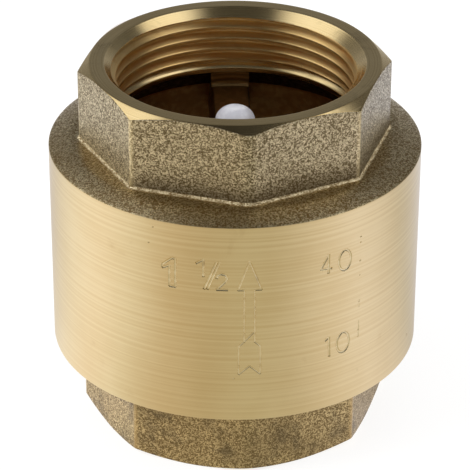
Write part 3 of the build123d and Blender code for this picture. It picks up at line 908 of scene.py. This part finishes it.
def whiteToLens(tree):  # 1 where the camera, a reflection or clear glass looks
    path = place(tree, "ShaderNodeLightPath").outputs
    seen = plus(tree, path["Is Camera Ray"], path["Is Glossy Ray"], clamp=True)
    return plus(tree, seen, path["Is Transmission Ray"], clamp=True), path["Is Glossy Ray"]


def bareMaterial(name):  # a material with nothing in it yet but its output
    material = bpy.data.materials.new(name)
    material.use_nodes = True
    tree = material.node_tree
    tree.nodes.remove(tree.nodes["Principled BSDF"])
    return material, tree, tree.nodes["Material Output"]


def glowing(tree, strength, colour=(1, 1, 1, 1)):
    return place(tree, "ShaderNodeEmission", {"Color": colour, "Strength": strength}).outputs[0]


def bearingOf(tree, x, y):  # degrees from the front, to the right
    return times(tree, calc(tree, "ARCTAN2", x, times(tree, y, -1.0)), 180 / math.pi)


def makeFloor():
    size, level = stage["floorSize"], -stage["floorDrop"]
    corners = [(-size, -size, level), (size, -size, level), (size, size, level), (-size, size, level)]
    floor = newObject("floor", corners, [(0, 1, 2, 3)])
    material, tree, output = bareMaterial("paleFloor")
    matt = place(tree, "ShaderNodeBsdfDiffuse", {"Color": (0.8, 0.8, 0.8, 1)}).outputs[0]
    shadowed = place(tree, "ShaderNodeBsdfDiffuse", {"Color": (0.30, 0.30, 0.30, 1)}).outputs[0]
    seen, glossy = whiteToLens(tree)
    x, y, z = axesOf(tree, place(tree, "ShaderNodeTexCoord").outputs["Object"])
    ramp = place(tree, "ShaderNodeValToRGB", {0: plus(tree, over(tree, bearingOf(tree, x, y), 360.0), 0.5)})
    fillRamp(ramp, [(degrees / 360 + 0.5, colour) for degrees, colour in stage["floorGlow"]])
    lit = place(tree, "ShaderNodeAddShader", {0: shadowed, 1: glowing(tree, 0.78)}).outputs[0]
    mirrored = glowing(tree, 1.0, ramp.outputs[0])
    bright = place(tree, "ShaderNodeMixShader", {0: glossy, 1: lit, 2: mirrored}).outputs[0]
    mixed = place(tree, "ShaderNodeMixShader", {0: seen, 1: matt, 2: bright}).outputs[0]
    connect(tree, output, {"Surface": mixed})
    floor.data.materials.append(material)


def makeTent():
    step, radius, middle = stage["step"], stage["tentRadius"], stage["middle"]
    verts, faces, rings, spokes = [], [], 90 // step + 1, 360 // step
    for ring in range(rings + 1):
        rise = math.radians(min(ring * step - 1.0, 90))
        reach, height = radius * math.cos(rise), radius * math.sin(rise) + middle
        for spoke in range(spokes):
            bearing = math.radians(spoke * step - 180)
            verts.append((reach * math.sin(bearing), -reach * math.cos(bearing), height))
    for ring in range(rings):
        for spoke in range(spokes):
            a, b = ring * spokes + spoke, ring * spokes + (spoke + 1) % spokes
            faces.append((a, b, b + spokes, a + spokes))
    tent = newObject("greyTent", verts, faces)
    material, tree, output = bareMaterial("tentCloth")
    where = place(tree, "ShaderNodeTexCoord").outputs["Object"]
    outward = place(tree, "ShaderNodeVectorMath", {0: where, 1: (0, 0, -middle)}, operation="ADD").outputs[0]
    outward = place(tree, "ShaderNodeVectorMath", {0: outward}, operation="NORMALIZE").outputs[0]
    x, y, z = axesOf(tree, outward)
    rise, bearing = times(tree, calc(tree, "ARCSINE", z), 180 / math.pi), bearingOf(tree, x, y)
    ramp = place(tree, "ShaderNodeValToRGB", {0: over(tree, rise, 90.0)})
    fillRamp(ramp, [(degrees / 90, (value, value, value)) for degrees, value in stage["tentGlow"]])
    glow = times(tree, ramp.outputs[0], spread(tree, x, 0.4, 0.85, 1.0, stage["rightShare"]))
    soft = stage["windowEdge"]
    for left, leftSoft, right, rightSoft, low, high, strength in stage["windows"]:
        panel = times(tree, spread(tree, bearing, left - leftSoft, left + leftSoft),
                      spread(tree, bearing, right + rightSoft, right - rightSoft))
        panel = times(tree, panel, spread(tree, rise, low - soft, low + soft))
        panel = times(tree, panel, spread(tree, rise, high + soft, high - soft))
        glow = calc(tree, "MAXIMUM", glow, times(tree, panel, strength))
    connect(tree, output, {"Surface": glowing(tree, glow)})
    tent.data.materials.append(material)
    tent.visible_camera = tent.visible_shadow = tent.visible_diffuse = tent.visible_transmission = False


def softbox(name, at, width, height, power):
    lamp = bpy.data.lights.new(name, "AREA")
    lamp.shape, lamp.size, lamp.size_y, lamp.energy = "RECTANGLE", width, height, power
    lampObject = bpy.data.objects.new(name, lamp)
    bpy.context.scene.collection.objects.link(lampObject)
    lampObject.location = at
    lampObject.rotation_mode = "QUATERNION"
    lampObject.rotation_quaternion = (Vector(at) - Vector((0, 0, stage["middle"]))).to_track_quat("Z", "Y")
    lampObject.visible_glossy = False


makeFloor()
makeTent()
softbox("leftSoftbox", (-0.62, -0.12, 0.34), 0.5, 0.6, 5.0)
softbox("rightSoftbox", (0.66, -0.02, 0.34), 0.5, 0.6, 3.4)

world = bpy.data.worlds.new("whiteRoom")
bpy.context.scene.world = world
world.use_nodes = True
worldTree = world.node_tree
worldTree.nodes.remove(worldTree.nodes["Background"])
seen, glossy = whiteToLens(worldTree)
backdrop = place(worldTree, "ShaderNodeBackground", {"Color": (1, 1, 1, 1), "Strength": 1.0}).outputs[0]
ambient = place(worldTree, "ShaderNodeBackground", {"Color": (1, 1, 1, 1), "Strength": 0.55}).outputs[0]
worldMix = place(worldTree, "ShaderNodeMixShader", {0: seen, 1: ambient, 2: backdrop}).outputs[0]
worldTree.links.new(worldMix, worldTree.nodes["World Output"].inputs["Surface"])
print("stage set")


# Camera, from the fitted view: in millimetres from the centre of the inlet face

lens = {"place": (-39.97, -444.21, 283.86), "forward": (0.07846, 0.87053, -0.48581), "roll": 0.232,
        "focal": 200.93, "sensor": 36.0}
forward = Vector(lens["forward"]).normalized()
level = forward.cross(Vector((0, 0, 1))).normalized()
upright = level.cross(forward)
roll = math.radians(lens["roll"])
rightward = level * math.cos(roll) + upright * math.sin(roll)
upward = upright * math.cos(roll) - level * math.sin(roll)
turnMatrix = Matrix((rightward, upward, -forward)).transposed()
cameraData = bpy.data.cameras.new("camera")
cameraData.sensor_width, cameraData.lens = lens["sensor"], lens["focal"]
cameraData.clip_start, cameraData.clip_end = 0.01, 20.0
camera = bpy.data.objects.new("camera", cameraData)
camera.matrix_world = Matrix.Translation(Vector(lens["place"]) * mm) @ turnMatrix.to_4x4()
bpy.context.scene.collection.objects.link(camera)
bpy.context.scene.camera = camera
bpy.context.scene.view_settings.view_transform = "Standard"
